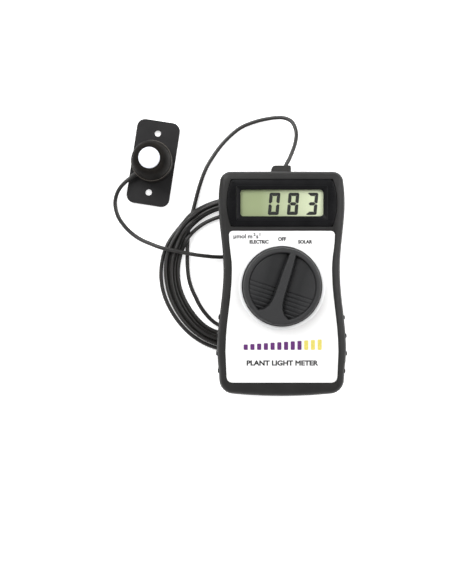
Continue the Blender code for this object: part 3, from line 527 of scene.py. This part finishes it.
# ---- camera, floor and light --------------------------------------------------------------
CAMERA_AT = (0.9, -8.3, 520.0)
CAMERA_LENS = 55.0
CAMERA_SHIFT = (-0.0171, -0.0377)


def make_camera():
    """Straight down from just over half a metre, as the real picture was framed."""
    data = bpy.data.cameras.new("camera")
    camera = bpy.data.objects.new("camera", data)
    bpy.context.scene.collection.objects.link(camera)
    data.type = "PERSP"
    data.sensor_width = 36.0
    data.lens = CAMERA_LENS
    data.shift_x, data.shift_y = CAMERA_SHIFT
    camera.location = [length * MM for length in CAMERA_AT]
    camera.rotation_euler = (0.0, 0.0, 0.0)
    bpy.context.scene.camera = camera


FLOOR_GLOW = 0.55


def make_floor():
    """White table that glows a little, as under a picture shot for a white page."""
    look = Look("studio_floor", (0.93, 0.93, 0.93), 0.8)
    look.tint(look.noise(180.0, 2.0), (0.95, 0.95, 0.95))
    look.set("Emission Color", (1.0, 1.0, 1.0, 1.0))
    look.set("Emission Strength", FLOOR_GLOW)
    shape = bmesh.new()
    bmesh.ops.create_grid(shape, x_segments=2, y_segments=2, size=3.0)
    mesh = bpy.data.meshes.new("floor")
    shape.to_mesh(mesh)
    shape.free()
    mesh.materials.append(look.material)
    floor = bpy.data.objects.new("floor", mesh)
    floor.location.z = -0.05 * MM
    bpy.context.scene.collection.objects.link(floor)


# Each light's name, place in metres and power in watts. All of them aim at the middle.
LIGHT_SIZE = 0.9
LIGHTS = (
    ("key_light", (-0.55, 0.70, 0.85), 13.5),
    ("fill_light", (0.80, 0.25, 0.85), 8.5),
    ("front_light", (-0.1, -0.9, 0.8), 1.5),
)
HORIZON_GLOW, CEILING_GLOW = 0.85, 0.27


def make_light(name, place, power):
    data = bpy.data.lights.new(name, "AREA")
    data.shape = "SQUARE"
    data.size = LIGHT_SIZE
    data.energy = power
    light = bpy.data.objects.new(name, data)
    light.location = place
    light.rotation_euler = (-Vector(place)).to_track_quat("-Z", "Y").to_euler()
    bpy.context.scene.collection.objects.link(light)


def make_world():
    """A dim ceiling and brighter walls, so that flat tops stay dark and edges catch light."""
    world = bpy.data.worlds.new("studio")
    world.use_nodes = True
    nodes, links = world.node_tree.nodes, world.node_tree.links
    direction = nodes.new("ShaderNodeTexCoord")
    split = nodes.new("ShaderNodeSeparateXYZ")
    level = nodes.new("ShaderNodeMapRange")
    level.interpolation_type = "SMOOTHSTEP"
    level.inputs["From Min"].default_value = 0.15
    level.inputs["From Max"].default_value = 0.95
    level.inputs["To Min"].default_value = HORIZON_GLOW
    level.inputs["To Max"].default_value = CEILING_GLOW
    background = nodes["Background"]
    background.inputs["Color"].default_value = (1.0, 1.0, 1.0, 1.0)
    links.new(direction.outputs["Generated"], split.inputs[0])
    links.new(split.outputs["Z"], level.inputs["Value"])
    links.new(level.outputs["Result"], background.inputs["Strength"])
    bpy.context.scene.world = world


def make_lights():
    for name, place, power in LIGHTS:
        make_light(name, place, power)
    make_world()
    bpy.context.scene.view_settings.view_transform = "Standard"


# ---- selector knob ------------------------------------------------------------------------
KNOB_R = 21.8
LOBE_R = 18.6
BAR_STATIONS = ((18.6, 1.5), (10.0, 1.9), (0.0, 2.15), (-6.0, 2.3), (-9.6, 2.8), (-12.4, 3.8),
                (-14.8, 5.6), (-16.4, 8.8), (-17.4, 12.0), (-22.0, 22.0))
GRIP_FIRST, GRIP_PITCH, GRIP_COUNT = -2.0, 2.35, 6


def bar_half_width(y):
    """Half width of the pointer bar, which opens into a fan at its rear end."""
    ys = np.array([s[0] for s in BAR_STATIONS[::-1]])
    halves = np.array([s[1] for s in BAR_STATIONS[::-1]])
    return np.interp(y, ys, halves)


def ramp(t):
    t = np.clip(t, 0.0, 1.0)
    return t * t * (3.0 - 2.0 * t)


def knob_depth(x, y):
    """How far the knob's top is scooped below its flat, in its own turned frame."""
    from_bar = np.abs(x) - bar_half_width(y)
    from_rim = LOBE_R - np.hypot(x, y)
    inside = np.minimum(from_bar, from_rim)
    across = np.clip(from_bar / 14.5, 0.0, 1.0)
    dish = 0.5 + 3.1 * (1.0 - across) ** 1.6
    depth = dish * ramp(inside / 0.75)
    rim_groove = np.exp(-((from_rim - 0.35) / 0.3) ** 2) * ramp((from_bar + 0.3) / 0.6)
    depth += 0.75 * rim_groove
    for i in range(GRIP_COUNT):
        line = GRIP_FIRST - GRIP_PITCH * i
        groove = np.exp(-((y - line) / 0.26) ** 2)
        depth += 0.45 * groove * ramp((inside - 0.4) / 0.6)
    return depth


def make_knob():
    """The knob's top as a fine polar mesh, with its skirt and underside."""
    spokes, pitch, top_r = 320, 0.22, KNOB_R - 1.9
    rings = round(top_r / pitch)
    radii = top_r * np.arange(1, rings + 1) / rings
    angles = math.tau * np.arange(spokes) / spokes
    x = radii[:, None] * np.cos(angles)[None, :]
    y = radii[:, None] * np.sin(angles)[None, :]
    crown = 0.25 * (1.0 - (radii[:, None] / top_r) ** 2)
    z = KNOB_TOP_Z - 0.25 + crown - knob_depth(x, y)
    shape = bmesh.new()
    centre_z = KNOB_TOP_Z - float(knob_depth(np.array(0.0), np.array(0.0)))
    hub = shape.verts.new((0.0, 0.0, centre_z))
    rows = []
    for i in range(rings):
        rows.append([shape.verts.new((x[i, k], y[i, k], z[i, k])) for k in range(spokes)])
    low = FACE_Z
    skirt = [(top_r + 0.35, KNOB_TOP_Z - 0.42), (KNOB_R - 1.2, KNOB_TOP_Z - 0.85),
             (KNOB_R - 0.85, KNOB_TOP_Z - 1.5), (KNOB_R - 0.45, low + 3.4),
             (KNOB_R - 0.1, low + 1.2), (KNOB_R, low + 0.7), (KNOB_R, low + 0.2),
             (KNOB_R - 0.2, low), (12.0, low), (0.01, low)]
    for r, height in skirt:
        rows.append([shape.verts.new((r * math.cos(a), r * math.sin(a), height))
                     for a in angles])
    for k in range(spokes):
        shape.faces.new((hub, rows[0][k], rows[0][(k + 1) % spokes]))
    for inner, outer in zip(rows, rows[1:]):
        for k in range(spokes):
            j = (k + 1) % spokes
            shape.faces.new((inner[k], outer[k], outer[j], inner[j]))
    bmesh.ops.remove_doubles(shape, verts=rows[-1], dist=0.1)
    bmesh.ops.rotate(shape, cent=(0, 0, 0), verts=shape.verts,
                     matrix=Matrix.Rotation(KNOB_REST, 3, "Z"))
    bmesh.ops.translate(shape, vec=(KNOB.x, KNOB.y, 0.0), verts=shape.verts)
    knob = piece_from("knob_cap", shape, "knob_plastic", "selector", 60.0)
    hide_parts("selector_knob")


def make_dial_ring():
    """Pale ring round the knob, with a low flange that covers the edge of the label."""
    profile = [(22.1, LABEL_Z - 0.35), (23.45, LABEL_Z - 0.35), (23.45, LABEL_Z + 0.01),
               (23.85, LABEL_Z + 0.01), (23.82, LABEL_Z + 0.12), (23.6, LABEL_Z + 0.32),
               (23.3, LABEL_Z + 0.44), (22.5, LABEL_Z + 0.45), (22.25, LABEL_Z + 0.4),
               (22.1, LABEL_Z + 0.2), (22.1, LABEL_Z - 0.35)]
    ring = piece_from("ring_band", turned_shape(profile, KNOB, 128), "ring_plastic")
    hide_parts("dial_ring")


# ---- display ------------------------------------------------------------------------------
BEZEL_Y = 44.95
BEZEL_HALF_HEIGHT = 12.85
BEZEL_MID_HALF, BEZEL_END_HALF = 30.2, 27.8
FRAME_W, FRAME_H = 50.4, 19.0
SIGHT_W, SIGHT_H = 45.7, 14.6


def bezel_half_width(t):
    """Half width at height t, from -1 at the lower edge to 1 at the upper."""
    return BEZEL_END_HALF + (BEZEL_MID_HALF - BEZEL_END_HALF) * (1.0 - t * t)


def bezel_outline(spread):
    """Right side upwards then left side downwards, with small round corners."""
    half_h = BEZEL_HALF_HEIGHT + spread
    right = []
    for i in range(25):
        t = i / 12.0 - 1.0
        corner = max(0.0, abs(t) - 0.93) / 0.07
        pull = 0.9 * (1.0 - math.sqrt(max(0.0, 1.0 - corner * corner)))
        right.append((bezel_half_width(t) + spread - pull, BEZEL_Y + half_h * t))
    return on_meter(right + [(-x, y) for x, y in reversed(right)])


def make_bezel():
    """Display surround: a flat panel, and the sloping frame round the glass."""
    low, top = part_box("display_bezel")[0].z / MM, top_of("display_bezel")
    panel = bmesh.new()
    hole = on_meter(rounded(0.0, BEZEL_Y, FRAME_W, FRAME_H, 0.7, 12))
    levels = ((0.0, low), (0.0, top - 0.35), (-0.1, top - 0.1), (-0.3, top))
    rings = [[(x, y, z) for x, y in bezel_outline(spread)] for spread, z in levels]
    add_loft(panel, rings, closed=False)
    bridge_flat(panel, rings[-1], [(x, y, top) for x, y in hole])
    bridge_flat(panel, rings[0], [(x, y, low) for x, y in hole])
    add_loft(panel, [[(x, y, low) for x, y in hole], [(x, y, top) for x, y in hole]],
             closed=False)
    bmesh.ops.remove_doubles(panel, verts=panel.verts, dist=0.0005)
    panel_piece = piece_from("bezel_panel", panel, "bezel_plastic")
    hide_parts("display_bezel")
    make_sight_frame(low, top)
    make_bezel_ribs(top)


def bridge_flat(shape, outer, inner):
    """Fill between two closed outlines that lie at one height."""
    edges = []
    for ring in (outer, inner):
        verts = [shape.verts.new(p) for p in ring]
        edges += [shape.edges.new((verts[i], verts[(i + 1) % len(verts)]))
                  for i in range(len(verts))]
    bmesh.ops.triangle_fill(shape, edges=edges, use_beauty=True)


def make_sight_frame(low, top):
    """Four mitred slopes that fall from the panel to the glass."""
    shape = bmesh.new()
    levels = ((FRAME_W - 0.1, FRAME_H - 0.1, 0.65, top - 0.02),
              (FRAME_W - 0.6, FRAME_H - 0.6, 0.7, top + 0.06),
              (FRAME_W - 1.1, FRAME_H - 1.1, 0.8, top - 0.05),
              (SIGHT_W + 0.5, SIGHT_H + 0.5, 1.7, low + 0.35),
              (SIGHT_W, SIGHT_H, 1.7, low + 0.05),
              (SIGHT_W, SIGHT_H, 1.7, low - 0.15),
              (FRAME_W - 0.1, FRAME_H - 0.1, 0.65, low - 0.15))
    rings = [[(x, y, z) for x, y in on_meter(rounded(0.0, BEZEL_Y, w, h, r, 8))]
             for w, h, r, z in levels]
    add_loft(shape, rings + [rings[0]], closed=False)
    bmesh.ops.remove_doubles(shape, verts=shape.verts, dist=0.0005)
    piece_from("sight_frame", shape, "bezel_plastic", smooth=25.0)


def make_bezel_ribs(top):
    """Fine level ribs across the panel at both sides of the display."""
    shape = bmesh.new()
    pitch, wide, tall = 0.78, 0.36, 0.16
    count = int(2 * (BEZEL_HALF_HEIGHT - 0.9) / pitch)
    for i in range(count + 1):
        y = -BEZEL_HALF_HEIGHT + 0.9 + i * pitch
        end = bezel_half_width(y / BEZEL_HALF_HEIGHT) - 0.55
        start = FRAME_W / 2 + 0.5
        for side in (-1, 1):
            x = METER[0] + side * (start + end) / 2
            half = (end - start) / 2
            yy = METER[1] + BEZEL_Y + y
            base = [(x - half, yy - wide / 2), (x + half, yy - wide / 2),
                    (x + half, yy + wide / 2), (x - half, yy + wide / 2)]
            crest = [(x - half + 0.1, yy - 0.08), (x + half - 0.1, yy - 0.08),
                     (x + half - 0.1, yy + 0.08), (x - half + 0.1, yy + 0.08)]
            add_loft(shape, [[(a, b, top - 0.05) for a, b in base],
                             [(a, b, top + tall) for a, b in crest]])
    piece_from("bezel_ribs", shape, "bezel_plastic")


DIGIT_W, DIGIT_H, STROKE = 6.0, 12.3, 1.85
DIGIT_PITCH = 10.5
DIGIT_SLANT = math.tan(math.radians(5.0))
SEGMENTS_OF = {"0": "abcdef", "8": "abcdefg", "3": "abcdg"}


def segment_shapes():
    """Outlines of the seven bars of one figure, with its lower left corner at 0, 0."""
    w, h, t, g = DIGIT_W, DIGIT_H, STROKE, 0.14
    mid = h / 2
    upper_left = [(0.0, h - g - 0.5), (0.45, h - g - 0.1), (t, h - t - g), (t, mid + t / 2 + g),
                  (t * 0.45, mid + g), (0.0, mid + g + 0.5)]
    top = [(g + 0.5, h), (w - g - 0.5, h), (w - g - 0.1, h - 0.45), (w - t - g, h - t),
           (t + g, h - t), (g + 0.1, h - 0.45)]
    middle_bar = [(t * 0.5 + g, mid), (t + g, mid + t / 2), (w - t - g, mid + t / 2),
                  (w - t * 0.5 - g, mid), (w - t - g, mid - t / 2), (t + g, mid - t / 2)]
    return {
        "a": top,
        "b": [(w - x, y) for x, y in upper_left],
        "c": [(w - x, h - y) for x, y in upper_left],
        "d": [(x, h - y) for x, y in top],
        "e": [(x, h - y) for x, y in upper_left],
        "f": upper_left,
        "g": middle_bar,
    }


def make_figures():
    """The reading on the display, leaning a little to the right."""
    glass_z = top_of("lcd_glass")
    right_edge = METER[0] + 19.8
    bottom = METER[1] + BEZEL_Y - DIGIT_H / 2 - 0.35
    outlines = segment_shapes()
    for place, figure in enumerate("083"):
        shape = bmesh.new()
        left = right_edge - DIGIT_W - DIGIT_PITCH * (2 - place)
        for name in SEGMENTS_OF[figure]:
            outline = [(left + x + (y - DIGIT_H / 2) * DIGIT_SLANT, bottom + y)
                       for x, y in outlines[name]]
            add_prism(shape, outline, glass_z + 0.01, glass_z + 0.06)
        piece_from(f"figure_{place + 1}", shape, "segment_ink")


# ---- printed face -------------------------------------------------------------------------
PRINT_LOW, PRINT_HIGH = 0.005, 0.03


def lettering(name, words, x, y, height, look, width, bold):
    """Flat printed letters centred on a point of the face, each stroke widened by bold."""
    data = bpy.data.curves.new(name, "FONT")
    data.body = words
    data.size = 1.0
    data.extrude = 0.02
    data.bevel_depth = bold
    data.bevel_resolution = 0
    text = bpy.data.objects.new(name + "_source", data)
    bpy.context.scene.collection.objects.link(text)
    bpy.context.view_layer.update()
    seen = text.evaluated_get(bpy.context.evaluated_depsgraph_get())
    mesh = bpy.data.meshes.new_from_object(seen)
    bpy.data.objects.remove(text)
    co = np.array([v.co for v in mesh.vertices])
    low, high = co.min(0), co.max(0)
    scale_y = height / (high[1] - low[1])
    scale_x = width / (high[0] - low[0]) if width else scale_y
    mid = (low + high) / 2
    thick = PRINT_HIGH - PRINT_LOW
    for vert in mesh.vertices:
        share = (vert.co.z - low[2]) / (high[2] - low[2])
        vert.co = (METER[0] * MM + (x + (vert.co.x - mid[0]) * scale_x) * MM,
                   METER[1] * MM + (y + (vert.co.y - mid[1]) * scale_y) * MM,
                   (LABEL_Z + PRINT_LOW + thick * share) * MM)
    shape = bmesh.new()
    shape.from_mesh(mesh)
    bmesh.ops.remove_doubles(shape, verts=shape.verts, dist=0.0005 * MM)
    bmesh.ops.recalc_face_normals(shape, faces=shape.faces)
    shape.to_mesh(mesh)
    shape.free()
    return new_piece(name, mesh, look)


# Each row: piece, words, centre x and y, height, ink, width or None, and bold.
WORDS = (
    ("print_electric", "ELECTRIC", -12.6, 23.5, 2.05, "dark_ink", 10.5, 0.055),
    ("print_off", "OFF", 0.1, 25.0, 2.15, "dark_ink", 4.4, 0.055),
    ("print_solar", "SOLAR", 12.8, 23.5, 2.05, "dark_ink", 7.9, 0.055),
    ("print_unit", "μmol m", -21.5, 26.3, 2.9, "grey_ink", 10.4, 0.035),
    ("print_unit_power_1", "2", -15.1, 27.6, 1.7, "grey_ink", None, 0.045),
    ("print_unit_second", "s", -13.6, 26.2, 1.7, "grey_ink", None, 0.03),
    ("print_unit_power_2", "1", -12.1, 27.6, 1.7, "grey_ink", None, 0.045),
    ("print_descriptor", "PLANT LIGHT METER", 0.3, -43.2, 2.95, "dark_ink", 39.5, 0.045),
)


def make_print():
    for row in WORDS:
        lettering(*row)
    make_level_bars()


def make_level_bars():
    """A row of rising bars, as a plain sign for light level."""
    count, pitch, wide = 12, 3.7, 2.3
    for name, picks, look in (("print_bars_low", range(0, 9), "purple_ink"),
                              ("print_bars_high", range(9, count), "gold_ink")):
        shape = bmesh.new()
        for i in picks:
            tall = 3.0 + 0.25 * i
            x = (i - (count - 1) / 2) * pitch
            bar = on_meter(rounded(x + 0.4, -36.0 + tall / 2, wide, tall, 0.5, 4))
            add_prism(shape, bar, LABEL_Z + PRINT_LOW, LABEL_Z + PRINT_HIGH)
        piece_from(name, shape, look)


# ---- sensor head --------------------------------------------------------------------------
def make_sensor_head():
    """Turned head: straight foot, a thin rim line coloured paler as a painted highlight, and a dome up to the
    diffuser.
    """
    low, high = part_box("sensor_housing")
    foot, top = low.z / MM, high.z / MM
    rim_z, rim_r, top_r, bore = 13.0, 11.7, 6.9, 6.1
    profile = [(8.0, foot), (rim_r - 0.5, foot), (rim_r - 0.15, foot + 0.15),
               (rim_r - 0.02, foot + 0.5), (rim_r - 0.02, rim_z - 1.3), (rim_r, rim_z - 1.0),
               (rim_r, rim_z - 0.35), (rim_r - 0.12, rim_z - 0.1), (rim_r - 0.42, rim_z + 0.02),
               (rim_r - 0.5, rim_z + 0.25)]
    for i in range(1, 25):
        a = math.radians(90.0 * i / 24)
        r = top_r + (rim_r - 0.55 - top_r) * math.cos(a) ** 0.9
        profile.append((r, rim_z + 0.25 + (top - 0.25 - rim_z) * math.sin(a) ** 1.15))
    profile += [(bore + 0.1, top), (bore, top - 0.12), (bore, 23.0), (8.0, 20.0), (8.0, foot)]
    shape = turned_shape(profile, SENSOR)
    head = piece_from("sensor_dome", shape, "sensor_plastic", smooth=50.0)
    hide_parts("sensor_housing")
    # A small lip along the rim. Its shape is real, and its paler colour is a painted highlight.
    edge = [(rim_r - 0.22 + 0.17 * math.cos(a), rim_z + 0.02 + 0.17 * math.sin(a))
            for a in (math.tau * i / 10 for i in range(11))]
    piece_from("dome_rim", turned_shape(edge, SENSOR), "painted_rim_highlight", smooth=60.0)

    disc_top = top_of("sensor_diffuser")
    disc = [(0.005, 24.5), (5.8, 24.5), (5.95, 24.7), (5.95, disc_top - 0.75),
            (5.85, disc_top - 0.5), (5.6, disc_top - 0.3), (5.0, disc_top - 0.18),
            (3.0, disc_top - 0.05), (0.005, disc_top)]
    diffuser = piece_from("diffuser_disc", turned_shape(disc, SENSOR), "diffuser_acrylic",
                          smooth=60.0)
    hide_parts("sensor_diffuser")


SLEEVE_HEADING = math.radians(215.0)
SLEEVE_Z = 4.7


def make_sleeve():
    """Short tapered sleeve with three rings where the cable enters the head."""
    way = Vector((math.cos(SLEEVE_HEADING), math.sin(SLEEVE_HEADING), 0.0))
    side = Vector((-way.y, way.x, 0.0))
    base = Vector((SENSOR.x, SENSOR.y, SLEEVE_Z))
    stations = [(8.2, 1.7), (11.9, 1.72)]
    for i in range(3):
        start, taper = 12.3 + i, 0.06 * i
        stations += [(start, 1.62 - taper), (start + 0.12, 1.46 - taper),
                     (start + 0.42, 1.46 - taper), (start + 0.54, 1.6 - taper)]
    stations += [(15.3, 1.42), (15.5, 1.3), (15.5, 1.12)]
    rings = []
    for along, radius in stations:
        centre = base + way * along
        rings.append([tuple(centre + side * (radius * math.cos(a))
                            + Vector((0, 0, radius * math.sin(a))))
                      for a in (math.tau * k / 32 for k in range(32))])
    shape = bmesh.new()
    add_loft(shape, rings)
    sleeve = piece_from("cable_sleeve", shape, "gland_rubber")
    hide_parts("sensor_cable_sleeve")


# ---- everything ---------------------------------------------------------------------------
# CAD nodes drawn again with soft edges, and how wide each bevel is.
SOFT_EDGES = {"front_housing": 0.3, "rear_housing": 0.3, "mounting_plate": 0.25,
              "cable_gland": 0.5, "face_label": 0.04}


def paint_cad_nodes():
    """Give every CAD node that still shows the look of its own material slot."""
    for node, thing in frame["nodes"].items():
        thing.data.materials.clear()
        thing.data.materials.append(looks[SLOT_OF[node]])
        thing.data.shade_smooth()
        thing.data.set_sharp_from_angle(angle=math.radians(30.0))


make_camera()
make_cable()
make_floor()
make_lights()
paint_cad_nodes()
for node, bevel in SOFT_EDGES.items():
    refined(node, bevel)
make_knob()
make_dial_ring()
make_bezel()
make_figures()
make_print()
make_sensor_head()
make_sleeve()
